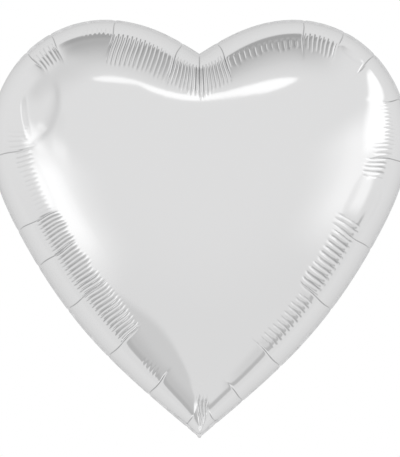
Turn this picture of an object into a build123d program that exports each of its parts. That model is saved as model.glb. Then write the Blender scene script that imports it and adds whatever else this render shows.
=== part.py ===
from build123d import *
import os
from math import cos, hypot, radians, sin, sqrt

# A heart-shaped foil balloon, inflated, with its filling tail folded up behind it.
# Two heart-shaped foil sheets are welded together all round their edge. A flat self-closing
# valve of two thin plies runs from the mouth of the tail, round the fold, into the heart.
# Frame: millimetres, +Z up, front towards -Y, origin at the heart's bottom point.

# Driving dimensions of the inflated heart
HEART_WIDTH = 380.0
HEART_HEIGHT = 378.6
CLEFT_HEIGHT = 348.0
DEPTH = 160.0
FOIL = 0.5  # modelled thickness of one foil sheet
VALVE_FILM = 0.2  # modelled thickness of one valve ply

# Half of the heart's outline, from the cleft round to the bottom point, and the slopes at
# which it leaves the cleft and reaches the bottom point
CLEFT_ANGLE = 33.0
TIP_ANGLE = 40.0
OUTLINE = [
    (0, CLEFT_HEIGHT),
    (36.7, 368.4),
    (93, HEART_HEIGHT),
    (151.5, 354.5),
    (HEART_WIDTH / 2, 273),
    (163, 184.5),
    (97, 88.5),
    (0, 0),
]

# The weld round the edge. Insets are shares of the way in from the outline to the crown.
SEAL_INSET = 0.022  # inner edge of the weld
FOIL_INSET = 0.0105  # where the foil leaves the weld
SEAL_THICKNESS = 2 * FOIL

# Shape of the pillow that the sheets make. Its level lines shrink towards the crown, and
# turn from a heart into a circle on the way.
CROWN_HEIGHT = 216.0
CROWN_RADIUS = 168.0
ROUNDING_POWER = 0.75
PROFILE_POWER = 2.78  # close to the section of a round foil balloon
LEVELS = [1.0, 0.996, 0.98, 0.94, 0.86, 0.74, 0.58, 0.38, 0.16]
PILLOW_TIP = 13.0  # the pillow stops above the bottom point, where the neck is flat
PILLOW_TIP_SHOULDER = (20, 20)

# Neck and tail. The tail's layers are set out from its middle plane.
NECK_WIDTH = 26.0
NECK_HEIGHT = 17.0
NECK_GAP = 0.1
TAIL_LEAN = 54.0  # lean of the folded tail, from upright towards the back
TAIL_PIVOT = (0, 1.8, 0)
TAIL_ROOT = 2.0  # distance from the pivot to the near end of the plies
TAIL_ROOT_WIDTH = 2.0  # the films are gathered to a point at the fold
TAIL_SPREAD = 0.68  # each side spreads by this share of the length, up to its full width
TAIL_LENGTH = 75.0
TAIL_MOUTH = 62.0  # the front ply and the valve end here, and the back ply runs on
TAIL_PLY_OFFSET = 0.5  # from the middle plane to the inner face of a ply
TAIL_CORNER_RADIUS = 6.0
TAIL_WELD_WIDTH = 4.0
RIBBON_HOLE_RADIUS = 2.5
RIBBON_HOLE_AT = 68.5

# Valve
VALVE_WIDTH = 17.0
VALVE_OFFSET = 0.1  # from the middle plane to the inner face of a ply
VALVE_BASE = 18.0
VALVE_LENGTH = 60.0
VALVE_CORNER_RADIUS = 3.0


def between(a, b, share):
    """The value a share of the way from a to b."""
    return a + (b - a) * share


def drawn_in(points, share):
    """Points of the front plane, drawn in towards the crown by a share of the way."""
    return [(x * (1 - share), between(z, CROWN_HEIGHT, share)) for x, z in points]


def pillow_edge():
    """Half of the line along which the foil leaves the weld, from the cleft to the neck."""
    edge = drawn_in(OUTLINE[:-1], FOIL_INSET)
    return edge + [PILLOW_TIP_SHOULDER, (0, PILLOW_TIP)]


def level_line(level, shrink):
    """Half of one level line: the pillow's edge, drawn in towards the crown and rounded."""
    roundness = (1 - level) ** ROUNDING_POWER
    line = []
    for x, z in pillow_edge():
        rise = z - CROWN_HEIGHT
        to_circle = CROWN_RADIUS / hypot(x, rise)
        scale = shrink * level * between(1, to_circle, roundness)
        line.append((x * scale, CROWN_HEIGHT + rise * scale))
    return line


def half_pillow(sunk):
    """The right half of the front of the pillow as a solid, its surface sunk by an amount."""
    shrink = 1 - sunk / CROWN_RADIUS
    sections = []
    for level in LEVELS:
        rise = sqrt(1 - level**PROFILE_POWER)
        depth = between(SEAL_THICKNESS / 2, DEPTH / 2 - sunk, rise)
        cleft_slope = radians(CLEFT_ANGLE) * (1 - (1 - level) ** ROUNDING_POWER)
        points = level_line(level, shrink)
        with BuildSketch(Plane.XZ.offset(depth)) as section:
            with BuildLine():
                Spline(
                    *points,
                    tangents=[(cos(cleft_slope), sin(cleft_slope)), (-1, 0)],
                    tangent_scalars=(1, 1),
                )
                Line(points[-1], points[0])
            make_face()
        sections.append(section.sketch)
    return loft(sections, mode=Mode.PRIVATE)


def heart_face(inset):
    """The heart as a flat face, its outline drawn in by an inset."""
    start = radians(CLEFT_ANGLE)
    end = radians(TIP_ANGLE)
    with BuildSketch() as heart:
        with BuildLine():
            Spline(
                *drawn_in(OUTLINE, inset),
                tangents=[(cos(start), sin(start)), (-cos(end), -sin(end))],
                tangent_scalars=(1, 1),
            )
            mirror(about=Plane.YZ)
        make_face()
    return heart.sketch


def save(part, name):
    part.label = name
    export_step(part, f"parts/{name}.step")


os.makedirs("parts", exist_ok=True)

# Foil sheets: two thin shells that meet the weld along their open edges
outer_half = half_pillow(0)
inner_half = half_pillow(FOIL)
with BuildPart() as front_foil:
    add(outer_half)
    add(inner_half, mode=Mode.SUBTRACT)
    mirror(about=Plane.YZ)
save(front_foil.part, "front_foil")

with BuildPart() as back_foil:
    mirror(front_foil.part, about=Plane.XZ)
save(back_foil.part, "back_foil")

# Weld: a flat band round the heart, open at the neck
with BuildPart() as perimeter_seal:
    with BuildSketch(Plane.XZ):
        add(heart_face(0))
        add(heart_face(SEAL_INSET), mode=Mode.SUBTRACT)
        Rectangle(NECK_WIDTH, 2 * NECK_HEIGHT, mode=Mode.SUBTRACT)
    extrude(amount=SEAL_THICKNESS / 2, both=True)
save(perimeter_seal.part, "perimeter_seal")

# Neck fold: the sheets and valve pressed flat at the bottom point, where the tail turns back
with BuildPart() as neck_fold:
    with BuildSketch(Plane.XZ):
        add(heart_face(0))
        Rectangle(NECK_WIDTH - 2 * NECK_GAP, 2 * NECK_HEIGHT, mode=Mode.INTERSECT)
    extrude(amount=SEAL_THICKNESS / 2, both=True)
save(neck_fold.part, "neck_fold")


# Tail plane: x across, y from the pivot towards the mouth, normal towards the heart
lean = radians(TAIL_LEAN)
tail_plane = Plane(
    origin=TAIL_PIVOT,
    x_dir=(1, 0, 0),
    z_dir=(0, -cos(lean), sin(lean)),
)


def tail_strip(width, end):
    """A strip of the tail, drawn in the current sketch. It widens from its gathered root."""
    root = TAIL_ROOT_WIDTH / 2
    half = width / 2
    spread_end = TAIL_ROOT + (half - root) / TAIL_SPREAD
    right_side = [(root, TAIL_ROOT), (half, spread_end), (half, end)]
    left_side = [(-x, y) for x, y in reversed(right_side)]
    Polygon(*right_side, *left_side, align=None)


# The front sheet's ply lies outermost when the tail is folded up
with BuildPart() as tail_front_ply:
    with BuildSketch(tail_plane.offset(-TAIL_PLY_OFFSET)) as front_ply_shape:
        tail_strip(NECK_WIDTH, TAIL_MOUTH)
    extrude(amount=-FOIL)
save(tail_front_ply.part, "tail_front_ply")

# The back sheet's ply runs on past the mouth as a tongue with the ribbon hole
with BuildPart() as tail_back_ply:
    with BuildSketch(tail_plane.offset(TAIL_PLY_OFFSET)) as back_ply_shape:
        tail_strip(NECK_WIDTH, TAIL_LENGTH)
        tongue_corners = back_ply_shape.vertices().group_by(Axis.Y)[-1]
        fillet(tongue_corners, TAIL_CORNER_RADIUS)
        with Locations((0, RIBBON_HOLE_AT)):
            Circle(RIBBON_HOLE_RADIUS, mode=Mode.SUBTRACT)
    extrude(amount=FOIL)
save(tail_back_ply.part, "tail_back_ply")

# Welds down both sides of the tail
with BuildPart() as tail_side_seals:
    with BuildSketch(tail_plane):
        tail_strip(NECK_WIDTH, TAIL_MOUTH)
        with Locations((0, (TAIL_ROOT + TAIL_MOUTH) / 2)):
            Rectangle(NECK_WIDTH - 2 * TAIL_WELD_WIDTH, TAIL_MOUTH, mode=Mode.SUBTRACT)
    extrude(amount=TAIL_PLY_OFFSET, both=True)
save(tail_side_seals.part, "tail_side_seals")

# Valve plies inside the tail
with BuildPart() as valve_sleeve_front:
    with BuildSketch(tail_plane.offset(-VALVE_OFFSET)):
        tail_strip(VALVE_WIDTH, TAIL_MOUTH)
    extrude(amount=-VALVE_FILM)
save(valve_sleeve_front.part, "valve_sleeve_front")

with BuildPart() as valve_sleeve_back:
    with BuildSketch(tail_plane.offset(VALVE_OFFSET)):
        tail_strip(VALVE_WIDTH, TAIL_MOUTH)
    extrude(amount=VALVE_FILM)
save(valve_sleeve_back.part, "valve_sleeve_back")

# Valve flaps inside the heart, which part to let gas in and close behind it
with BuildPart() as valve_flap_front:
    with BuildSketch(Plane.XZ.offset(VALVE_OFFSET)) as flap_shape:
        with Locations((0, VALVE_BASE + VALVE_LENGTH / 2)):
            Rectangle(VALVE_WIDTH, VALVE_LENGTH)
        fillet(flap_shape.vertices().group_by(Axis.Y)[-1], VALVE_CORNER_RADIUS)
    extrude(amount=VALVE_FILM)
save(valve_flap_front.part, "valve_flap_front")

with BuildPart() as valve_flap_back:
    mirror(valve_flap_front.part, about=Plane.XZ)
save(valve_flap_back.part, "valve_flap_back")
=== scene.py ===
import math
import random

import bpy
import numpy as np
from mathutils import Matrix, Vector
from mathutils.geometry import delaunay_2d_cdt


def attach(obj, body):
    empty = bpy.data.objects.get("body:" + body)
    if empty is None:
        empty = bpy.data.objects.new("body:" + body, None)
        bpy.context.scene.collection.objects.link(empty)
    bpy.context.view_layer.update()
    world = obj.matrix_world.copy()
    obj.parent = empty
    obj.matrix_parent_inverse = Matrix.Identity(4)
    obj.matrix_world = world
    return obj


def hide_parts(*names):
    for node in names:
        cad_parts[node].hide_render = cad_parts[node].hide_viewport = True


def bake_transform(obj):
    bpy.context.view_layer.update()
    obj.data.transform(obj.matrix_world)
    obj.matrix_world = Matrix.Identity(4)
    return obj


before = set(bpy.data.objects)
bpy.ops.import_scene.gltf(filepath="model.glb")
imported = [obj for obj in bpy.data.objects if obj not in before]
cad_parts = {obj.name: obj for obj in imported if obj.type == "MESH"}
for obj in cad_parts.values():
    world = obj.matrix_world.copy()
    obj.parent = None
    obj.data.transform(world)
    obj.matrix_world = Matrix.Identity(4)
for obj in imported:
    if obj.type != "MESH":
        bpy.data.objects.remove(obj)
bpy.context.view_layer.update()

# The looks of a heart-shaped foil balloon. Shapes are worked out in millimetres and turned
# into metres when a mesh is made. +Z is up and the front faces -Y.
MM = 0.001

# ---------------------------------------------------------------- driving dimensions
HALF_OUTLINE = [  # from the cleft round to the bottom point, as in the CAD model
    (0, 348), (36.7, 368.4), (93, 378.6), (151.5, 354.5),
    (190, 273), (163, 184.5), (97, 88.5), (0, 0),
]
CLEFT_SLOPE = math.radians(33)
TIP_SLOPE = math.radians(40)
FOIL_INSET = 0.0105  # the foil leaves the weld this share of the way in to the crown
FOIL_TIP = [(20, 19.4), (7, 8.4), (0, 3.8)]  # the pillow runs on almost to the bottom point
CROWN = np.array([0.0, 216.0])
DEPTH = 80.0  # from the weld to the crown
PROFILE_POWER = 1.39  # section of a foil balloon, as a power of the membrane's height
WELD_HALF = 0.25  # half thickness of the weld where the foil leaves it

EDGE_POINTS = 3000  # points that stand for half of an outline
BOWL_RADIUS = 200.0  # scale of the bowl that the soap film is worked out from
HALF_COLUMNS = 1088  # columns of vertices round half of the heart
RIM_ROWS = 50  # rows from the weld to the inner end of the puckered zone
RIM_REACH = 60.0
RIM_MIDDLE = 26.0  # how far in the middle of the puckered zone lies
CENTRE_ROWS = 16
HALVE_AT = (2, 5, 8, 11)  # rows of the centre where every second column ends
STEP = 1.0  # step used to trace a column


# ---------------------------------------------------------------- small helpers
def smooth(low, high, value):
    """0 below low, 1 above high, with a smooth rise between."""
    t = np.clip((value - low) / (high - low), 0, 1)
    return t * t * (3 - 2 * t)


def spline(points, start, end, count):
    """A smooth curve through 2-D points that leaves and arrives in given directions."""
    p = np.array(points, float)
    chords = np.hypot(*np.diff(p, axis=0).T)
    knots = np.concatenate([[0], np.cumsum(chords)])
    n = len(p)
    system = np.eye(n)
    right = np.zeros((n, 2))
    right[0], right[-1] = start, end
    for i in range(1, n - 1):
        a, b = chords[i - 1], chords[i]
        system[i, i - 1:i + 2] = b, 2 * (a + b), a
        right[i] = 3 * (b * (p[i] - p[i - 1]) / a + a * (p[i + 1] - p[i]) / b)
    slopes = np.linalg.solve(system, right)
    q = np.linspace(0, knots[-1], count)
    k = np.clip(np.searchsorted(knots, q, side="right") - 1, 0, n - 2)
    h = chords[k][:, None]
    t = ((q - knots[k]) / chords[k])[:, None]
    return (
        (2 * t**3 - 3 * t**2 + 1) * p[k] + (t**3 - 2 * t**2 + t) * h * slopes[k]
        + (3 * t**2 - 2 * t**3) * p[k + 1] + (t**3 - t**2) * h * slopes[k + 1]
    )


def lengths(points):
    """Distance along a polyline at each of its points."""
    return np.concatenate([[0], np.cumsum(np.hypot(*np.diff(points, axis=0).T))])


def drawn_in(points, share):
    """Points of the front plane, drawn in towards the crown by a share of the way."""
    return np.array(points, float) * (1 - share) + CROWN * share


def new_mesh(name, vertices, faces, material, **attributes):
    """A mesh object. Each attribute is a list with one value for every vertex."""
    mesh = bpy.data.meshes.new(name)
    mesh.from_pydata((np.asarray(vertices, float) * MM).tolist(), [], faces)
    mesh.update()
    mesh.polygons.foreach_set("use_smooth", [True] * len(mesh.polygons))
    for key, values in attributes.items():
        attribute = mesh.attributes.new(key, "FLOAT", "POINT")
        attribute.data.foreach_set("value", np.asarray(values, np.float32))
    piece = bpy.data.objects.new(name, mesh)
    bpy.context.scene.collection.objects.link(piece)
    mesh.materials.append(material)
    return piece


# ---------------------------------------------------------------- the smooth pillow
class Pillow:
    """A soap film over the heart. Its height gives the pillow's depth, and the lines of
    steepest climb on it are the columns of the mesh, square to the weld."""

    def __init__(self):
        edge = drawn_in(HALF_OUTLINE[:-1], FOIL_INSET).tolist() + FOIL_TIP
        start = (math.cos(CLEFT_SLOPE), math.sin(CLEFT_SLOPE))
        self.edge = spline(edge, start, (-1, 0), EDGE_POINTS)
        self.edge_length = lengths(self.edge)
        self.solve()

    def solve(self):
        """Fits sources outside the edge so that the film's height is 0 along the edge."""
        samples = self.edge[::5]
        tangent = np.gradient(samples, axis=0)
        tangent /= np.hypot(*tangent.T)[:, None]
        outward = np.stack([-tangent[:, 1], tangent[:, 0]], 1)
        to_cleft = np.hypot(*(samples - samples[0]).T)
        to_tip = np.hypot(*(samples - samples[-1]).T)
        gap = np.minimum(np.clip(0.35 * to_cleft, 0.6, 40), 5 + 0.5 * to_tip)
        sources = (samples + outward * gap[:, None])[1:-1:3]
        over_cleft = samples[0] + np.array([[0, 1], [0, 3], [0, 8], [0, 20]])
        self.sources = np.concatenate([sources, over_cleft])
        self.weights = np.zeros(len(self.sources) + 1)
        height, _ = self.raw(samples)
        basis = self.basis(samples)
        self.weights = np.linalg.lstsq(basis, -height, rcond=1e-12)[0]
        self.top = 1.0
        axis = np.stack([np.zeros(400), np.linspace(150, 280, 400)], 1)
        height, _ = self.raw(axis)
        self.top = height.max()

    def basis(self, p):
        """What each source adds to the height at points, with its mirror image."""
        columns = np.ones((len(p), len(self.sources) + 1))
        for sign in (1, -1):
            away = p[:, None, :] - self.sources[None] * [sign, 1]
            part = 0.5 * np.log((away**2).sum(-1))
            columns[:, :-1] += part if sign == -1 else part - 1
        return columns

    def raw(self, p):
        """Height and gradient of the film at points of the front plane."""
        away = p - CROWN
        height = -(away**2).sum(1) / BOWL_RADIUS**2
        gradient = -2 * away / BOWL_RADIUS**2
        if self.weights.any():
            height = height + self.basis(p) @ self.weights
            for sign in (1, -1):
                reach = p[:, None, :] - self.sources[None] * [sign, 1]
                pull = self.weights[:-1] / (reach**2).sum(-1)
                gradient = gradient + (reach * pull[..., None]).sum(1)
        return height, gradient

    def depth_and_normal(self, p):
        """Depth of the front sheet at points of the plane, and its outward normal."""
        height, gradient = self.raw(p)
        u = np.clip(height / self.top, 1e-6, 1)
        gradient = gradient / self.top
        section = np.sqrt(1 - (1 - u) ** PROFILE_POWER)
        slope = PROFILE_POWER / 2 * (1 - u) ** (PROFILE_POWER - 1) / section * DEPTH
        normal = np.stack(
            [-slope * gradient[:, 0], -np.ones(len(p)), -slope * gradient[:, 1]], 1
        )
        normal /= np.linalg.norm(normal, axis=1)[:, None]
        return section * DEPTH, normal

    def climb(self, starts, reach):
        """Lines of steepest climb from points on the weld, as far as reach."""
        steps = int(reach / STEP)
        line = [starts]
        inward = CROWN - starts
        inward /= np.hypot(*inward.T)[:, None]
        p = starts + inward * 1e-3
        for _ in range(steps):
            _, g = self.raw(p)
            half = p + g / np.hypot(*g.T)[:, None] * STEP / 2
            _, g = self.raw(half)
            p = p + g / np.hypot(*g.T)[:, None] * STEP
            line.append(p)
        return np.stack(line)  # steps + 1, columns, 2

    def at(self, distance):
        """Points at distances along the edge, from the cleft."""
        x = np.interp(distance, self.edge_length, self.edge[:, 0])
        z = np.interp(distance, self.edge_length, self.edge[:, 1])
        return np.stack([x, z], 1)


pillow = Pillow()

# ---------------------------------------------------------------- creases and pleats
# Along each half of the weld, from the cleft to the bottom point: where a crease crosses the rim, how
# far in it runs, how far it drifts along the rim on the way, and how the foil lies from there
# to the next crease. All lengths are in millimetres. A crease pinches both sheets at one place.
FRONT_RIGHT = [
    (0, 34, 0, "gathered"), (19, 42, 2, "teeth"), (101, 38, 4, "short"),
    (139, 16, 1, "lens"), (173, 26, 1, "plain"), (219, 18, -3, "tiny"),
    (277, 40, 1, "few"), (362, 44, -4, "wide"), (427, 42, -2, "strokes"),
    (496, 42, 2, "plain"), (542, 24, 2, "plain"), (573, 13, 1, "flat"),
]
FRONT_LEFT = [
    (0, 34, 0, "gathered"), (18, 46, 3, "swept"), (83, 36, 7, "edged"),
    (143, 20, 1, "rungs"), (170, 24, 1, "blister"), (272, 46, -7, "faint"),
    (343, 42, -1, "comb"), (380, 44, -2, "comb"), (427, 46, 1, "ragged"),
    (483, 44, 2, "nicked"), (533, 34, 3, "plain"), (577, 12, 1, "flat"),
]
BACK_RIGHT = [
    (0, 34, 0, "gathered"), (19, 42, 3, "swept"), (101, 38, -3, "comb"),
    (139, 22, 2, "rungs"), (173, 24, 0, "blister"), (219, 30, 2, "few"),
    (277, 42, -4, "comb"), (362, 40, 4, "faint"), (427, 44, -3, "ragged"),
    (496, 36, 3, "edged"), (542, 28, -2, "plain"), (574, 14, 0, "flat"),
]
BACK_LEFT = [
    (0, 34, 0, "gathered"), (18, 40, 4, "teeth"), (83, 36, -4, "comb"),
    (143, 26, 0, "lens"), (170, 24, -2, "tiny"), (272, 44, 5, "comb"),
    (343, 36, -3, "few"), (380, 42, 3, "comb"), (427, 44, -4, "strokes"),
    (483, 38, 4, "comb"), (533, 30, 2, "plain"), (578, 14, 0, "flat"),
]

# How the foil lies between two creases, as runs of pleats. Each run has its share of the
# stretch, the pitch of the pleats, where they begin and end on the way in, and their height
# at both ends of the run. An eighth number makes the pleats lean over to one side.
STRETCHES = {
    "gathered": [(0.0, 1.0, 3.5, 13, 41, 1.0, 0.9)],
    "teeth": [(0.03, 0.97, 5.2, 18.5, 27.5, 0.70, 0.75, 0.4)],
    "swept": [(0.03, 0.98, 4.0, 13.5, 42, 0.40, 1.15)],
    "short": [(0.06, 0.94, 3.6, 12.5, 28, 0.62, 0.60)],
    "edged": [(0.05, 0.50, 3.4, 7, 14, 0.42, 0.20)],
    "nicked": [(0.50, 0.90, 3.6, 16, 25, 0.30, 0.36)],
    "tiny": [(0.02, 0.75, 3.4, 13, 22, 0.32, 0.42), (0.75, 1.0, 4.0, 15, 32, 0.50, 0.60)],
    "rungs": [(0.10, 0.98, 3.8, 7, 25, 0.62, 0.66)],
    "faint": [(0.02, 0.30, 4.8, 22, 38, 0.62, 0.40), (0.30, 0.95, 4.6, 25, 38, 0.34, 0.24)],
    "few": [(0.0, 0.24, 4.8, 18, 38, 0.85, 0.60), (0.84, 1.0, 4.8, 20, 42, 0.60, 0.85)],
    "comb": [(0.02, 0.98, 3.8, 18.5, 42, 1.1, 1.1)],
    "wide": [(0.06, 0.98, 5.5, 19, 39, 1.15, 1.1)],
    "ragged": [(0.02, 0.98, 3.8, 19, 43, 0.92, 0.95), (0.1, 0.9, 2.6, 18, 25, 0.2, 0.26)],
    "strokes": [(0.10, 0.90, 5.3, 18, 33, 0.72, 0.62)],
    "blister": [(0.72, 1.0, 4.6, 18, 36, 0.12, 0.40)],
    "lens": [],
    "plain": [],
    "flat": [],
}

# Swellings: centre as a share of the stretch, centre on the way in, half the length as a share
# of the stretch, half the width, height, and how much further in the far end lies
SWELLINGS = {
    "blister": [(0.47, 18, 0.52, 36, 2.6, 0), (0.62, 29, 0.28, 4.5, 0.8, 26)],
    "lens": [(0.5, 8.5, 0.44, 8.5, 0.55, 0), (0.36, 6.5, 0.22, 1.8, 0.2, 0)],
    "few": [(0.56, 26, 0.38, 13, 1.7, 0)],
    "faint": [(0.6, 30, 0.45, 12, 0.5, 0)],
}
CREASE_DEPTH = 1.0
CREASE_WIDTH = 0.6  # at the rim; a crease opens as it runs in
STRETCH_BULGE = 0.35

TIP_STRETCH = 25.0  # the end of the weld, at the bottom point, where columns stay close
PLAIN_SPACING = 2.2  # relative spacing of columns where the foil has no pleats
CREASE_CROWDING = 5.0  # how much closer the columns are at a crease


def bounded(creases):
    """Each crease with the one after it. The last is followed by the bottom point."""
    tip = (pillow.edge_length[-1], 20, 0, "flat")
    return list(zip(creases, creases[1:] + [tip]))


class Side:
    """Half of the puckered zone: a grid of points from the weld inwards, and how far along
    the rim each of them lies from the cleft, measured along its own row."""

    def __init__(self, sign, creases):
        self.places = self.column_places(creases)
        line = pillow.climb(pillow.at(self.places), RIM_REACH)
        line[:, 0, 0] = line[:, -1, 0] = 0
        traced = np.arange(len(line)) * STEP
        self.grid = np.empty((len(ROWS), HALF_COLUMNS + 1, 2))
        for axis in (0, 1):
            for column in range(HALF_COLUMNS + 1):
                self.grid[:, column, axis] = np.interp(ROWS, traced, line[:, column, axis])
        self.across = np.stack([lengths(row) for row in self.grid])
        self.grid = self.grid * [sign, 1]

    def column_places(self, creases):
        """Places of the columns along the weld. They are spread by the mean of two measures,
        along the weld and along the middle of the puckered zone, and crowd at creases."""
        trial = np.linspace(0, pillow.edge_length[-1], 4001)
        middle = lengths(pillow.climb(pillow.at(trial[::10]), RIM_MIDDLE)[-1])
        middle = np.interp(trial, trial[::10], middle)
        measure = trial / trial[-1] + middle / middle[-1]
        density = np.full(len(trial), 1 / PLAIN_SPACING)
        for (at, _, _, style), (end, *_) in bounded(creases):
            for low, high, *_ in STRETCHES[style]:
                a, b = (at + (end - at) * share for share in (low, high))
                density[(trial > a - 2) & (trial < b + 2)] = 1
        density[trial > trial[-1] - TIP_STRETCH] = 1
        for at, _, drift, _ in creases:
            density += CREASE_CROWDING * np.exp(-(((trial - at - drift / 4) / 1.8) ** 2))
        count = np.concatenate([[0], np.cumsum(np.diff(measure) * density[1:])])
        return np.interp(np.linspace(0, count[-1], HALF_COLUMNS + 1), count, trial)

    def line(self, place, drift, reach):
        """Where a crease lies along each row, as a column of numbers."""
        start = np.array([np.interp(place, self.places, row) for row in self.across])
        wobble = 0.5 * np.sin(ROWS / 4.5 + place) * smooth(0, 5, ROWS) * (place > 0)
        return (start + drift * (ROWS / reach) ** 2 + wobble)[:, None]


def crease(away, distance, reach, depth):
    """A sharp valley across the rim, and the painted shade at each point, darkest at the bottom of
    the crease.
    """
    inner = 1 - smooth(0.5 * reach, reach, distance)
    width = CREASE_WIDTH * (1 + 0.6 * smooth(12, 34, distance))
    valley = -depth * np.exp(-away / width) * (0.35 + 0.65 * smooth(0, 4, distance)) * inner
    shade = np.exp(-((away / (0.8 * width)) ** 2)) * (0.62 - 0.25 * smooth(12, 22, distance))
    return valley, shade * inner


def pleats(share, distance, length, run, chance):
    """A run of pleats: round ridges with sharp valleys between them, and painted shade in the
    valleys.
    """
    low, high, pitch, begin, end, height, height_end, *extra = run
    lean = sum(extra)
    count = max(2, round(length * (high - low) / pitch))
    along = (share - low) / (high - low)
    inside = (along > 0) & (along < 1)
    number = np.clip((along * count).astype(int), 0, count - 1)
    strength = np.array([chance.uniform(0.82, 1.16) for _ in range(count)])[number]
    starts = np.array([chance.uniform(-0.6, 0.6) for _ in range(count)])[number]
    stops = np.array([chance.uniform(-1.6, 1.6) for _ in range(count)])[number]
    sway = 0.07 * np.sin(along * count * 1.7 + chance.uniform(0, 6)) * np.sin(math.pi * along)
    turn = 2 * math.pi * (along * count + sway)
    wave = np.abs(np.sin(turn / 2 + lean * (1 - np.cos(turn))))
    rise = smooth(begin - 0.7 + starts, begin + 1.0 + starts, distance)
    fall = 1 - smooth(0.2 * begin + 0.8 * end + stops, end + stops, distance)
    size = (height + (height_end - height) * along) * strength * rise * fall
    shade = (1 - wave) ** 2.2 * np.abs(size) ** 1.5
    return np.where(inside, (wave - 0.6) * size, 0), np.where(inside, shade, 0)


def swelling(share, distance, form):
    """A smooth oval bump, and the painted shade along its inner border."""
    middle, depth, half_length, half_width, height, slant = form
    off = np.abs((share - middle) / half_length)
    aside = (distance - depth - slant * (share - middle)) / half_width
    out = off**2.6 + np.abs(aside) ** 2.6
    border = np.exp(-(((out - 1.1) / 0.35) ** 2)) * smooth(0.4, 0.9, aside)
    return height * np.clip(1 - out, 0, 1) ** 1.15, border * min(height, 3) / 3


def relief(side, creases, chance):
    """Height of each point of one half above the smooth pillow, and the painted shade it takes in
    creases, pleat valleys and at swelling borders.
    """
    distance = ROWS[:, None]
    height = np.zeros_like(side.across)
    fold = np.zeros_like(side.across)
    for (at, reach, drift, style), (end, end_reach, end_drift, _) in bounded(creases):
        first = side.line(at, drift, reach)
        last = side.line(end, end_drift, end_reach)
        depth = CREASE_DEPTH * chance.uniform(0.85, 1.15)
        valley, shade = crease(np.abs(side.across - first), distance, reach, depth)
        height += valley
        fold = np.maximum(fold, shade)
        share = (side.across - first) / (last - first)
        length = float(np.interp(25, ROWS, (last - first)[:, 0]))
        if style not in ("flat", "lens"):
            swell = smooth(0, 9, distance) * (1 - smooth(16, 38, distance)) * STRETCH_BULGE
            height += swell * np.clip(1 - (2 * share - 1) ** 6, 0, 1)
        for form in SWELLINGS.get(style, []):
            bump, border = swelling(share, distance, form)
            height += bump
            fold = np.maximum(fold, 0.3 * border)
        for run in STRETCHES[style]:
            ridge, shade = pleats(share, distance, length, run, chance)
            height += ridge
            fold = np.maximum(fold, np.minimum(0.8 * shade, 0.9))
    return height, fold


def neck_gathers(x, z):
    """The foil gathers into a narrow bundle of upright folds, which runs down to the point.
    Gives their height, and the painted shade in their valleys."""
    half = 0.9 + 0.115 * z
    share = (x - 2.9 * smooth(0, 18, z)) / half
    body = (1 - smooth(0.7, 1.2, np.abs(share))) * (1 - smooth(30, 43, z))
    wave = np.abs(np.sin(4.7 * share + 0.7 * np.sin(z / 4)))
    kinks = 0.35 * np.sin(6 * share + z / 2.6) * np.cos(z / 3.1 + 2 * share)
    return body * (wave - 0.5 + kinks) * 0.15 * half, body * (1 - wave) ** 3 * 0.8


ROWS = RIM_REACH * (np.arange(RIM_ROWS + 1) / RIM_ROWS) ** 1.5
RIGHT = Side(1, FRONT_RIGHT)
LEFT = Side(-1, FRONT_LEFT)


def all_round(right, left):
    """Joins values of both halves into closed rings."""
    return np.concatenate([right, left[:, 1:-1][:, ::-1]], 1)


GRID = all_round(RIGHT.grid, LEFT.grid)
PLACE = all_round(RIGHT.places[None], -LEFT.places[None])[0]
RUFFLE_PITCHES = (9, 14, 23, 37)
RUFFLE_SIZE = 0.13


def ruffle(place):
    """How far the welded edge waves to the front and back."""
    wave = np.zeros_like(place)
    chance = random.Random(41)
    for pitch in RUFFLE_PITCHES:
        wave += RUFFLE_SIZE * np.sin(place * 2 * math.pi / pitch + chance.uniform(0, 6))
    return wave * smooth(0, 8, np.abs(place))


def sheet(name, facing, halves, seed, material):
    """One foil sheet. facing is -1 for the front and 1 for the back."""
    chance = random.Random(seed)
    found = [relief(side, lines, chance) for side, lines in zip((RIGHT, LEFT), halves)]
    height = all_round(found[0][0], found[1][0])
    fold = all_round(found[0][1], found[1][1])
    gathers, neck_valley_shade = neck_gathers(GRID[..., 0] * -facing, GRID[..., 1])
    height += gathers * smooth(0, 3, ROWS)[:, None]
    # Painted shade in the valleys of the neck's gathers joins the other painted shade.
    fold = np.maximum(fold, neck_valley_shade)
    flat = GRID.reshape(-1, 2)
    depth, normal = pillow.depth_and_normal(flat)
    depth = depth.reshape(height.shape)
    depth[0] = 0
    points = np.stack([GRID[..., 0], -depth, GRID[..., 1]], 2)
    points += normal.reshape(points.shape) * height[..., None]
    points[..., 1] = np.minimum(points[..., 1], 0) - WELD_HALF
    points[..., 1] -= facing * ruffle(PLACE) * (1 - smooth(0, 5, ROWS))[:, None]
    rings = list(points)
    ring = GRID[-1]
    for k in range(1, CENTRE_ROWS):
        if k in HALVE_AT:
            ring = ring[::2]
        at = ring + (CROWN - ring) * k / CENTRE_ROWS
        depth, _ = pillow.depth_and_normal(at)
        rings.append(np.stack([at[:, 0], -depth - WELD_HALF, at[:, 1]], 1))
    top, _ = pillow.depth_and_normal(CROWN[None])
    rings.append(np.array([[CROWN[0], -top[0] - WELD_HALF, CROWN[1]]]))
    vertices = np.concatenate(rings)
    vertices[:, 1] *= -facing
    # The fold attribute carries painted shade for the foil's colour, from creases, pleat valleys,
    # swelling borders and neck gathers.
    folds = np.zeros(len(vertices))
    folds[:fold.size] = fold.reshape(-1)
    faces = ring_faces(rings, reverse=facing < 0)
    return new_mesh(name, vertices, faces, material, fold=folds)


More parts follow.
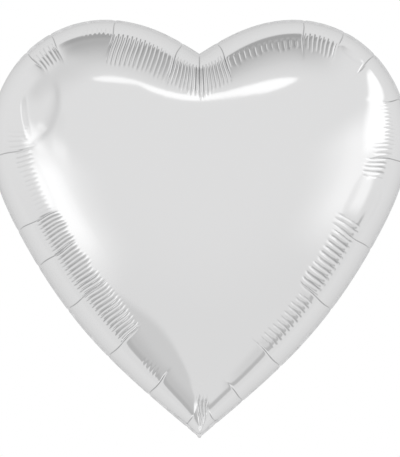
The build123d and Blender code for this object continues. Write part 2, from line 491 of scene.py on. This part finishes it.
def ring_faces(rings, reverse=False):
    """Faces between closed rings of vertices, where a ring may have half as many as the last
    and the final one is a single point. reverse turns them to look the other way."""
    faces = []
    base = 0
    for outer, inner in zip(rings, rings[1:]):
        n, m = len(outer), len(inner)
        following = base + n
        for j in range(n):
            a, b = base + j, base + (j + 1) % n
            if m == n:
                faces.append((a, b, following + (j + 1) % m, following + j))
            elif m == 1:
                faces.append((a, b, following))
            elif j % 2 == 0:
                c = base + (j + 2) % n
                p, q = following + j // 2, following + (j // 2 + 1) % m
                faces += [(a, b, p), (b, c, q), (b, q, p)]
        base = following
    return [f[::-1] for f in faces] if reverse else faces


# ---------------------------------------------------------------- the weld
WELD_ROWS = 9
WELD_EDGE_HALF = 0.12  # half thickness at the cut edge
PINCH = 0.5  # how far a crease draws the cut edge in
PINCH_WIDTH = 1.6


def weld_band(name, material):
    """The welded edge, from the foil out to the cut edge. At the bottom point it takes up the
    neck's gathers, and stands for the flat neck of the CAD model too."""
    start = (math.cos(CLEFT_SLOPE), math.sin(CLEFT_SLOPE))
    end = (-math.cos(TIP_SLOPE), -math.sin(TIP_SLOPE))
    half = spline(HALF_OUTLINE, start, end, EDGE_POINTS)
    bearing = np.arctan2(half[:, 0], half[:, 1] - CROWN[1])
    radius = np.hypot(half[:, 0], half[:, 1] - CROWN[1])
    inner = GRID[0]
    to_edge = np.interp(
        np.arctan2(np.abs(inner[:, 0]), inner[:, 1] - CROWN[1]), bearing, radius
    )
    outward = inner - CROWN
    outward /= np.hypot(*outward.T)[:, None]
    outer = CROWN + outward * to_edge[:, None]
    for creases, sign in ((FRONT_RIGHT, 1), (FRONT_LEFT, -1)):
        for at, *_ in creases[1:]:
            away = (PLACE - sign * at) / PINCH_WIDTH
            outer -= outward * PINCH * np.exp(-(away**2))[:, None]
    wave = ruffle(PLACE)
    front = []
    for k in range(WELD_ROWS + 1):
        share = k / WELD_ROWS
        at = inner + (outer - inner) * share
        half_thickness = WELD_HALF + (WELD_EDGE_HALF - WELD_HALF) * share
        if k == WELD_ROWS:
            half_thickness /= 3
        x, z = at.T
        flat_neck = (1 - smooth(9, 15, np.abs(x))) * (1 - smooth(14, 19, z))
        swing = wave * (1 + 0.8 * share) + flat_neck * neck_gathers(x, z)[0] * 0.8
        front.append((x, z, swing, half_thickness))
    rings = [np.stack([x, s - t, z], 1) for x, z, s, t in front]
    rings += [np.stack([x, s + t, z], 1) for x, z, s, t in front[::-1]]
    faces = ring_faces(rings)
    vertices = np.concatenate(rings)
    return new_mesh(name, vertices, faces, material, place=np.tile(PLACE, len(rings)))


# ---------------------------------------------------------------- flat films
def inside(points, outline):
    """Which points lie inside a closed outline."""
    x, y = points.T
    result = np.zeros(len(points), bool)
    for (x0, y0), (x1, y1) in zip(outline, np.roll(outline, -1, 0)):
        if y0 != y1:
            crosses = (y0 > y) != (y1 > y)
            result ^= crosses & (x < (x1 - x0) * (y - y0) / (y1 - y0) + x0)
    return result


def resampled(outline, pitch):
    """A closed outline with its points no further apart than a pitch."""
    points = []
    for a, b in zip(outline, np.roll(outline, -1, 0)):
        count = max(1, math.ceil(math.dist(a, b) / pitch))
        points += [a + (b - a) * k / count for k in range(count)]
    return np.array(points)


def triangulated(outline, pitch, hole):
    """Points and triangles that fill a flat outline, round a hole if there is one. A hole is
    its centre and radius."""
    loops = [resampled(np.array(outline, float), pitch)]
    if hole:
        centre, radius = np.array(hole[0], float), hole[1]
        turn = np.linspace(0, 2 * math.pi, 36, endpoint=False)
        loops.append(centre + radius * np.stack([np.cos(turn), np.sin(turn)], 1))
    low, high = loops[0].min(0), loops[0].max(0)
    x, y = np.meshgrid(np.arange(low[0], high[0], pitch), np.arange(low[1], high[1], pitch))
    x[1::2] += pitch / 2
    grid = np.stack([x.ravel(), y.ravel()], 1)
    border = np.concatenate(loops)
    gap = np.sqrt(((grid[:, None] - border[None]) ** 2).sum(2).min(1))
    grid = grid[inside(grid, loops[0]) & (gap > 0.6 * pitch)]
    edges = []
    for loop in loops:
        base = len(edges)
        edges += [(base + k, base + (k + 1) % len(loop)) for k in range(len(loop))]
    flat = [Vector(p) for p in np.concatenate([border, grid])]
    flat, _, faces, *_ = delaunay_2d_cdt(flat, edges, [], 0, 1e-5)
    flat = np.array([tuple(p) for p in flat])
    corners = flat[np.array(faces)]
    middle = corners.mean(1)
    keep = inside(middle, loops[0])
    if hole:
        keep &= np.hypot(*(middle - centre).T) > radius
    ab, ac = corners[:, 1] - corners[:, 0], corners[:, 2] - corners[:, 0]
    turned = ab[:, 0] * ac[:, 1] - ab[:, 1] * ac[:, 0] < 0
    faces = [f[::-1] if t else f for f, t, k in zip(faces, turned, keep) if k]
    return flat, faces


def film(name, outline, place, thickness, material, pitch=1.0, hole=None):
    """A thin film. place gives the points and normals of its middle surface, from points of
    its flat outline."""
    flat, faces = triangulated(outline, pitch, hole)
    used = sorted({v for f in faces for v in f})
    renumber = {v: k for k, v in enumerate(used)}
    flat = flat[used]
    faces = [tuple(renumber[v] for v in f) for f in faces]
    middle, normal = place(*flat.T)
    count = len(flat)
    vertices = np.concatenate([middle + normal * thickness / 2, middle - normal * thickness / 2])
    all_faces = faces + [tuple(v + count for v in f[::-1]) for f in faces]
    edges = {(a, b) for f in faces for a, b in zip(f, f[1:] + f[:1])}
    for a, b in edges:
        if (b, a) not in edges:
            all_faces.append((b, a, a + count, b + count))
    return new_mesh(name, vertices, all_faces, material, place=np.tile(flat[:, 1], 2))


# ---------------------------------------------------------------- tail and valve
TAIL_LEAN = math.radians(54)
TAIL_PIVOT = np.array([0, 1.8, 0])
TAIL_ALONG = np.array([0, math.sin(TAIL_LEAN), math.cos(TAIL_LEAN)])
TAIL_NORMAL = np.array([0, -math.cos(TAIL_LEAN), math.sin(TAIL_LEAN)])  # towards the heart
TAIL_HALF = 13.0
TAIL_ROOT = 1.0
TAIL_ROOT_HALF = 1.0
TAIL_SPREAD = 0.68  # each side widens by this share of the length
TAIL_FLARE = 2  # where it starts to widen
TAIL_MOUTH = 62.0
TAIL_END = 75.0
TAIL_CORNER = 6.0
TAIL_WELD = 4.0
HOLE = ((0, 68.5), 2.5)  # centre and radius
SLEEVE_HALF = 8.5
PLY_OFFSET = 0.75  # from the middle of the tail, where its plies lie apart
PLY_EDGE_OFFSET = 0.25  # and where they are welded
SLEEVE_OFFSET = 0.22
SLEEVE_EDGE_OFFSET = 0.07
SLEEVE_MEETS = (0.5, 0.62)  # shares of the half width over which the sleeve's plies close
SIDE_WELD_THICKNESS = 0.28
FLAP_BASE = 18.0
FLAP_TOP = 78.0
FLAP_CORNER = 3.0
FLAP_OFFSET = 0.2
WRAP_PATH = [(-0.42, 3.4), (-0.42, 1.0), (0.5, -0.15), (2.2, -0.1), (4.9, 1.35)]  # y, z
WRAP_THICKNESS = 0.15
FILM_THICKNESS = 0.1
FOIL_THICKNESS = 0.2


def tail_half(t):
    """Half of the tail's width at a distance from the fold."""
    return np.minimum(TAIL_HALF, TAIL_ROOT_HALF + TAIL_SPREAD * np.maximum(t - TAIL_FLARE, 0))


def wide_from(half):
    """Distance from the fold at which the tail reaches a half width."""
    return TAIL_FLARE + (half - TAIL_ROOT_HALF) / TAIL_SPREAD


def tail_form(x, t):
    """How far the whole tail strays from its plane: gathers at the root, a few creases, and a
    slight twist."""
    share = x / tail_half(t)
    ripple = np.cos(share * 9 + 0.4 * np.sin(t / 3))
    gathers = 0.32 * (1 - smooth(6, 30, t)) * smooth(1, 5, t) * ripple
    creases = 0
    for at, slant, depth in ((26, 0.22, 0.5), (41, -0.16, 0.4), (53, 0.3, 0.3)):
        creases = creases - depth * np.exp(-np.abs(t - at - slant * x) / 1.1)
    swell = 0.25 * np.sin(t / 7.5) * np.cos(x / 9)
    curl = -0.012 * np.maximum(t - TAIL_MOUTH, 0) ** 2
    return gathers + creases * smooth(14, 22, t) + swell * smooth(10, 20, t) + curl


def tail_ply(offset, edge_offset, meets=0.62, done=0.86):
    """Places a film of the tail. It lies off the middle by one offset, and by another along
    both sides, where it is welded."""
    def place(x, t):
        share = np.abs(x) / tail_half(t)
        open_part = 1 - smooth(meets, done, share)
        away = edge_offset + (offset - edge_offset) * open_part * smooth(2, 9, t)
        n = tail_form(x, t) + away
        flat = TAIL_PIVOT + np.outer(t, TAIL_ALONG) + np.outer(n, TAIL_NORMAL)
        flat[:, 0] += x
        return flat, np.tile(TAIL_NORMAL, (len(x), 1))
    return place


def mirrored(outline):
    """An outline on the other side of the middle, in the reverse order."""
    return [(-x, t) for x, t in outline[::-1]]


def rounded_corner(half, end, radius, steps):
    """A quarter of a circle at the far corner of a strip."""
    turns = [math.pi / 2 * k / steps for k in range(steps + 1)]
    return [
        (half - radius * (1 - math.cos(turn)), end - radius * (1 - math.sin(turn)))
        for turn in turns
    ]


def strip(half, root, end, corner=0.0):
    """Outline of a strip of the tail that widens from its gathered root."""
    side = [(TAIL_ROOT_HALF, root), (TAIL_ROOT_HALF, TAIL_FLARE), (half, wide_from(half))]
    side += rounded_corner(half, end, corner, 8) if corner else [(half, end)]
    return side + mirrored(side)


def right_half(outline):
    """The part of a symmetric outline at x above 0."""
    side = [p for p in outline if p[0] > 0]
    return [(0, side[0][1])] + side + [(0, side[-1][1])]


def opening_halves(name, half, place, thickness, material):
    """A ply on the opening side of the tail, as two halves. Each lies against the weld at its side
    and stands fully open along the middle."""
    outline = right_half(strip(half, TAIL_ROOT, TAIL_MOUTH))
    pieces = []
    for side, points in (("right", outline), ("left", mirrored(outline))):
        piece = film(f"{name}_{side}", points, place, thickness, material)
        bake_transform(piece)
        pieces.append(piece)
    return pieces


def on_heart_plane(offset):
    """Places a valve flap just off the middle plane of the heart."""
    def place(x, z):
        lift = offset + 0.02 * np.sin(z / 6) * math.copysign(1, offset)
        points = np.stack([x, lift, z], 1)
        return points, np.tile([0, -1.0, 0], (len(x), 1))
    return place


def flap_outline():
    """Outline of a valve flap, with its two far corners rounded."""
    side = [(SLEEVE_HALF, FLAP_BASE)] + rounded_corner(SLEEVE_HALF, FLAP_TOP, FLAP_CORNER, 6)
    return side + mirrored(side)


def fold_wrap(name, material):
    """The gathered films that turn round the fold, from the bottom point into the tail."""
    path = spline(WRAP_PATH, (0, -1), (0.81, 0.59), 33)
    tangent = np.gradient(path, axis=0)
    tangent /= np.hypot(*tangent.T)[:, None]
    out = np.stack([tangent[:, 1], -tangent[:, 0]], 1)
    along = np.linspace(0, 1, len(path))
    half = 1.0 + 1.6 * (1 - smooth(0, 0.4, along)) + 0.9 * smooth(0.55, 1, along)
    across = np.linspace(-1, 1, 25)
    outer = []
    for (y, z), (oy, oz), w in zip(path, out, half):
        ridge = 0.16 * np.abs(np.cos(across * 7)) * (1 - across**4)
        outer.append(np.stack([across * w, y + oy * ridge, z + oz * ridge], 1))
    outer = np.array(outer)
    thick = np.stack([np.zeros(len(out)), out[:, 0], out[:, 1]], 1)[:, None] * WRAP_THICKNESS
    inner = outer - thick
    rings = [np.concatenate([o, i[::-1]]) for o, i in zip(outer, inner)]
    n = len(rings[0])
    faces = ring_faces(rings, reverse=True)
    base = n * (len(rings) - 1)
    faces += [tuple(range(n)), tuple(range(base, base + n))[::-1]]
    places = np.repeat(np.linspace(0, 8, len(rings)), n)
    return new_mesh(name, np.concatenate(rings), faces, material, place=places)


# ---------------------------------------------------------------- materials
class Material:
    """A node material, with short calls for the nodes used here."""

    def __init__(self, name, color, metallic, roughness):
        self.material = bpy.data.materials.new(name)
        self.material.use_nodes = True
        self.tree = self.material.node_tree
        self.shader = self.tree.nodes["Principled BSDF"]
        self.set("Base Color", (*color, 1))
        self.set("Metallic", metallic)
        self.set("Roughness", roughness)
        coordinates = self.tree.nodes.new("ShaderNodeTexCoord")
        self.position = coordinates.outputs["Object"]

    def set(self, name, value):
        """Sets an input of the shader to a value, or to what another node gives."""
        if isinstance(value, bpy.types.NodeSocket):
            self.tree.links.new(value, self.shader.inputs[name])
        else:
            self.shader.inputs[name].default_value = value

    def node(self, kind, inputs, output, **settings):
        node = self.tree.nodes.new(kind)
        for key, value in settings.items():
            setattr(node, key, value)
        for key, value in inputs.items():
            if isinstance(value, bpy.types.NodeSocket):
                self.tree.links.new(value, node.inputs[key])
            else:
                node.inputs[key].default_value = value
        return node.outputs[output]

    def noise(self, scale, detail):
        inputs = {"Vector": self.position, "Scale": scale, "Detail": detail}
        return self.node("ShaderNodeTexNoise", inputs, "Fac")

    def attribute(self, name):
        return self.node("ShaderNodeAttribute", {}, "Fac", attribute_name=name)

    def ranged(self, value, low, high, start=0.0, end=1.0):
        inputs = {
            "Value": value, "From Min": start, "From Max": end, "To Min": low, "To Max": high,
        }
        return self.node("ShaderNodeMapRange", inputs, "Result")

    def mixed(self, share, a, b):
        inputs = {6: (*a, 1), 7: (*b, 1), 0: share}
        return self.node("ShaderNodeMix", inputs, 2, data_type="RGBA")

    def bump(self, height, distance, strength, normal=None):
        inputs = {"Height": height, "Distance": distance, "Strength": strength}
        if normal is not None:
            inputs["Normal"] = normal
        return self.node("ShaderNodeBump", inputs, "Normal")

    def ribs(self, pitch):
        """Fine ribs across a weld, from the place stored along it in millimetres."""
        turn = self.node(
            "ShaderNodeMath", {0: self.attribute("place"), 1: 2 * math.pi / pitch}, 0,
            operation="MULTIPLY",
        )
        return self.node("ShaderNodeMath", {0: turn}, 0, operation="SINE")


FOIL_SILVER = (0.9, 0.9, 0.903)
# Grey of the painted shade at the bottom of the foil's creases, pleats and gathers.
CREASE_SHADE_GREY = (0.40, 0.40, 0.405)
WELD_SILVER = (0.78, 0.78, 0.785)


def foil_material():
    """Plain silver foil: smooth, with faint smears, and painted shade greying its colour at the
    bottom of its creases, pleats and gathers.
    """
    m = Material("foil", FOIL_SILVER, 1.0, 0.08)
    # The fold attribute is painted shade: it greys the foil's colour where creases, pleat valleys,
    # swelling borders and neck gathers lie.
    m.set("Base Color", m.mixed(m.attribute("fold"), FOIL_SILVER, CREASE_SHADE_GREY))
    m.set("Roughness", m.ranged(m.noise(14, 4), 0.045, 0.12))
    grain = m.bump(m.noise(900, 2), 0.0001, 0.05)
    m.set("Normal", m.bump(m.noise(120, 3), 0.0004, 0.06, grain))
    return m.material


def weld_material():
    """The weld: the same foil, duller, pressed with fine ribs."""
    m = Material("weld", WELD_SILVER, 1.0, 0.25)
    m.set("Roughness", m.ranged(m.noise(60, 4), 0.18, 0.34))
    wrinkles = m.bump(m.noise(300, 3), 0.0003, 0.25)
    m.set("Normal", m.bump(m.ribs(1.3), 0.0002, 0.35, wrinkles))
    return m.material


def tail_material():
    """Foil of the tail: handled and folded, so it is finely crinkled."""
    m = Material("tail_foil", FOIL_SILVER, 0.8, 0.14)
    m.set("Base Color", m.mixed(m.ranged(m.noise(90, 3), 0, 0.35), FOIL_SILVER, WELD_SILVER))
    m.set("Roughness", m.ranged(m.noise(40, 4), 0.12, 0.28))
    m.set("Normal", m.bump(m.noise(210, 4), 0.0006, 0.35))
    return m.material


def valve_material():
    """Clear, slightly milky film."""
    m = Material("valve_film", (0.93, 0.95, 0.96), 0.0, 0.22)
    m.set("Transmission Weight", 0.35)
    m.set("IOR", 1.45)
    m.set("Roughness", m.ranged(m.noise(80, 3), 0.12, 0.35))
    m.set("Normal", m.bump(m.noise(160, 3), 0.0004, 0.3))
    return m.material


# ---------------------------------------------------------------- pieces
foil = foil_material()
weld = weld_material()
tail_foil = tail_material()
valve_film = valve_material()


def ride(piece, body, slot, *nodes):
    """Puts a piece on a body, in place of CAD nodes. The slot argument is not used."""
    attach(piece, body)
    if nodes:
        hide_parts(*nodes)


ride(sheet("front_foil_skin", -1, (FRONT_RIGHT, FRONT_LEFT), 11, foil), "envelope", "foil",
     "front_foil")
ride(sheet("back_foil_skin", 1, (BACK_RIGHT, BACK_LEFT), 29, foil), "envelope", "foil",
     "back_foil")
ride(weld_band("weld_band", weld), "envelope", "weld", "perimeter_seal", "neck_fold")

wrap = fold_wrap("fold_wrap", tail_foil)
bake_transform(wrap)

back_ply = film("tail_back_film", strip(TAIL_HALF, TAIL_ROOT, TAIL_END, TAIL_CORNER),
                tail_ply(PLY_OFFSET, PLY_EDGE_OFFSET), FOIL_THICKNESS, tail_foil, hole=HOLE)
ride(back_ply, "tail", "foil", "tail_back_ply")

front_ply = opening_halves("tail_front_film", TAIL_HALF,
                           tail_ply(-PLY_OFFSET, -PLY_EDGE_OFFSET), FOIL_THICKNESS,
                           tail_foil)
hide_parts("tail_front_ply")

weld_inner = TAIL_HALF - TAIL_WELD
side_weld = [(weld_inner, wide_from(weld_inner)), (TAIL_HALF, wide_from(TAIL_HALF)),
             (TAIL_HALF, TAIL_MOUTH), (weld_inner, TAIL_MOUTH)]
for side, outline in (("right", side_weld), ("left", mirrored(side_weld))):
    piece = film(f"tail_side_weld_{side}", outline, tail_ply(0, 0), SIDE_WELD_THICKNESS, weld)
    ride(piece, "tail", "weld")
    if side == "right":
        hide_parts("tail_side_seals")

back_sleeve = film("valve_sleeve_back_film", strip(SLEEVE_HALF, TAIL_ROOT + 1, TAIL_MOUTH),
                   tail_ply(SLEEVE_OFFSET, SLEEVE_EDGE_OFFSET, *SLEEVE_MEETS),
                   FILM_THICKNESS, valve_film)
ride(back_sleeve, "tail", "valve_film", "valve_sleeve_back")
front_sleeve = opening_halves("valve_sleeve_front_film", SLEEVE_HALF,
                              tail_ply(-SLEEVE_OFFSET, -SLEEVE_EDGE_OFFSET, *SLEEVE_MEETS),
                              FILM_THICKNESS, valve_film)
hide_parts("valve_sleeve_front")

for side, offset in (("front", -FLAP_OFFSET), ("back", FLAP_OFFSET)):
    flap = film(f"valve_flap_{side}_film", flap_outline(), on_heart_plane(offset),
                FILM_THICKNESS, valve_film)
    ride(flap, f"valve_{side}", "valve_film", f"valve_flap_{side}")


# ---------------------------------------------------------------- studio
class Studio:
    """The world: a pale room with soft panels, worked out from the direction of view. A
    direction has a lean, the angle between it and the way to the camera, and a turn round
    that axis: 0 is to the right of the picture and 90 is up. Both are in degrees."""

    def __init__(self, brightness):
        world = bpy.data.worlds.new("studio")
        bpy.context.scene.world = world
        world.use_nodes = True
        self.tree = world.node_tree
        self.tree.nodes.clear()
        self.direction = self.add("ShaderNodeTexCoord").outputs["Generated"]
        self.color = brightness
        lean = self.math("ARCCOSINE", self.dot((0, -1, 0)))
        self.lean = self.math("MULTIPLY", lean, 180 / math.pi)

    def add(self, kind, **settings):
        node = self.tree.nodes.new(kind)
        for key, value in settings.items():
            setattr(node, key, value)
        return node

    def math(self, operation, *values):
        node = self.add("ShaderNodeMath", operation=operation)
        for socket, value in zip(node.inputs, values):
            self.fill(socket, value)
        return node.outputs[0]

    def fill(self, socket, value):
        if isinstance(value, (int, float)):
            socket.default_value = value
        else:
            self.tree.links.new(value, socket)

    def dot(self, vector):
        node = self.add("ShaderNodeVectorMath", operation="DOT_PRODUCT")
        self.tree.links.new(self.direction, node.inputs[0])
        node.inputs[1].default_value = vector
        return node.outputs["Value"]

    def step(self, value, middle, soft, down=False):
        """A smooth step of half width soft, up or down, round a middle value."""
        node = self.add("ShaderNodeMapRange", interpolation_type="SMOOTHSTEP")
        node.inputs["From Min"].default_value = middle - soft
        node.inputs["From Max"].default_value = middle + soft
        node.inputs["To Min"].default_value = 1.0 if down else 0.0
        node.inputs["To Max"].default_value = 0.0 if down else 1.0
        self.tree.links.new(value, node.inputs["Value"])
        return node.outputs["Result"]

    def lay(self, mask, brightness):
        """Lays a brightness over the room where the mask is 1."""
        node = self.add("ShaderNodeMix", data_type="FLOAT")
        self.tree.links.new(mask, node.inputs["Factor"])
        self.fill(node.inputs["A"], self.color)
        self.fill(node.inputs["B"], brightness)
        self.color = node.outputs["Result"]

    def panel(self, brightness, turn, half_turn, soft_turn, near, soft_near, far, soft_far,
              slant=0.0, bow=0.0):
        """A panel that covers a range of turn round its middle, and a range of lean. With a
        slant, its lean grows with the turn. With a bow, its near side lies further out at
        both ends."""
        angle = math.radians(turn)
        ahead = self.dot((math.cos(angle), 0, math.sin(angle)))
        aside = self.dot((-math.sin(angle), 0, math.cos(angle)))
        off = self.math("MULTIPLY", self.math("ARCTAN2", aside, ahead), 180 / math.pi)
        mask = self.step(self.math("ABSOLUTE", off), half_turn, soft_turn, down=True)
        lean = self.math("MULTIPLY_ADD", off, -slant, self.lean)
        end = self.math("POWER", self.math("ABSOLUTE", self.math("DIVIDE", off, half_turn)), 2.0)
        bowed = self.math("MULTIPLY_ADD", end, -bow, lean)
        mask = self.math("MULTIPLY", mask, self.step(bowed, near, soft_near))
        mask = self.math("MULTIPLY", mask, self.step(lean, far, soft_far, down=True))
        self.lay(mask, brightness)

    def finish(self, backdrop):
        """The camera sees a plain backdrop, and the foil sees the room."""
        ray = self.add("ShaderNodeLightPath").outputs["Is Camera Ray"]
        self.lay(ray, backdrop)
        shade = self.add("ShaderNodeBackground")
        self.tree.links.new(self.color, shade.inputs["Color"])
        output = self.add("ShaderNodeOutputWorld")
        self.tree.links.new(shade.outputs["Background"], output.inputs["Surface"])


studio = Studio(0.805)
studio.lay(studio.step(studio.dot((0, 0, -1)), 0.25, 0.35), 0.775)
studio.panel(0.70, 92, 32, 14, 56, 10, 104, 3)  # dim ceiling
studio.panel(0.56, 92, 27, 10, 67, 8, 104, 3)
studio.panel(0.47, 92, 25, 8, 78, 8, 104, 3)
studio.panel(0.40, 94, 24, 8, 94, 4, 104, 3)
studio.panel(0.70, 132, 16, 10, 55, 12, 72, 8)
studio.panel(1.0, 194, 21, 10, 35, 17, 64, 5)  # left softbox
studio.panel(1.12, 195, 14, 6, 42, 9, 60, 4)
studio.panel(1.05, 165, 13, 4, 59, 7, 68, 2, slant=-0.92)  # light round the big swelling
studio.panel(0.98, 172, 6, 6, 36, 3, 45, 3)
studio.panel(1.0, 357, 22, 10, 38, 17, 76, 6)  # right softbox
studio.panel(1.13, 21, 20, 3, 64, 4, 96, 4, slant=0.8, bow=12)
studio.panel(0.66, 243, 23, 2, 46, 4, 94, 1.5, slant=0.35, bow=20)  # dark lower left
studio.panel(0.58, 243, 23, 2, 70, 9, 94, 1.5, slant=0.35)
studio.panel(0.50, 243, 23, 2, 84, 4, 94, 1.5, slant=0.35)
studio.panel(0.70, 312, 14, 8, 72, 6, 94, 1.5)  # dark line, lower right
studio.panel(0.52, 304, 30, 4, 86, 2.5, 94, 1.5)
studio.panel(1.12, 82, 11, 1.5, 39, 1, 48.5, 1, bow=6)  # curved strip light overhead
studio.panel(1.08, 102, 12, 1.5, 45, 1, 49.5, 1, bow=3)
studio.lay(studio.step(studio.lean, 104, 1.5), 0.795)  # the room darkens behind the balloon
studio.lay(studio.step(studio.lean, 117, 8), 0.77)
studio.lay(studio.step(studio.lean, 131, 8), 0.735)
studio.panel(1.1, 271, 5.5, 2, 80, 4, 113, 5)  # narrow light below
studio.lay(studio.step(studio.lean, 147, 8), 0.665)
studio.finish(1.0)


# ---------------------------------------------------------------- floor
FLOOR_DROP = 0.12
FLOOR_FADE = (0.75, 1.15)


def floor_material():
    """Pale and plain, fading out into the backdrop."""
    m = Material("floor", (0.9, 0.9, 0.9), 0.0, 0.7)
    m.set("Base Color", m.mixed(m.noise(3, 4), (0.90, 0.90, 0.90), (0.93, 0.93, 0.93)))
    radius = m.node("ShaderNodeVectorMath", {0: m.position}, "Value", operation="LENGTH")
    m.set("Alpha", m.ranged(radius, 1, 0, *FLOOR_FADE))
    return m.material


def floor_disc():
    """A round floor. The foil doesn't mirror it."""
    rings = [np.zeros((1, 3))]
    turn = np.linspace(0, 2 * math.pi, 96, endpoint=False)
    for radius in (300, 600, 900, FLOOR_FADE[1] / MM):
        rings.append(radius * np.stack([np.cos(turn), np.sin(turn), 0 * turn], 1))
    rings = rings[::-1]
    disc = new_mesh("floor", np.concatenate(rings), ring_faces(rings), floor_material())
    disc.location.z = -FLOOR_DROP
    disc.visible_glossy = False


floor_disc()

# ---------------------------------------------------------------- camera
PICTURE_HEIGHT = 0.4145  # height of the view at the balloon
CAMERA_DISTANCE = 3.0
CAMERA_HEIGHT = 0.1896
CAMERA_SIDE = 0.0005
camera_data = bpy.data.cameras.new("camera")
camera = bpy.data.objects.new("camera", camera_data)
bpy.context.scene.collection.objects.link(camera)
camera_data.sensor_width = 36
camera_data.lens = camera_data.sensor_width * CAMERA_DISTANCE / PICTURE_HEIGHT
camera.location = (CAMERA_SIDE, -CAMERA_DISTANCE, CAMERA_HEIGHT)
camera.rotation_euler = (math.radians(90), 0, 0)
bpy.context.scene.camera = camera
bpy.context.scene.view_settings.view_transform = "Standard"
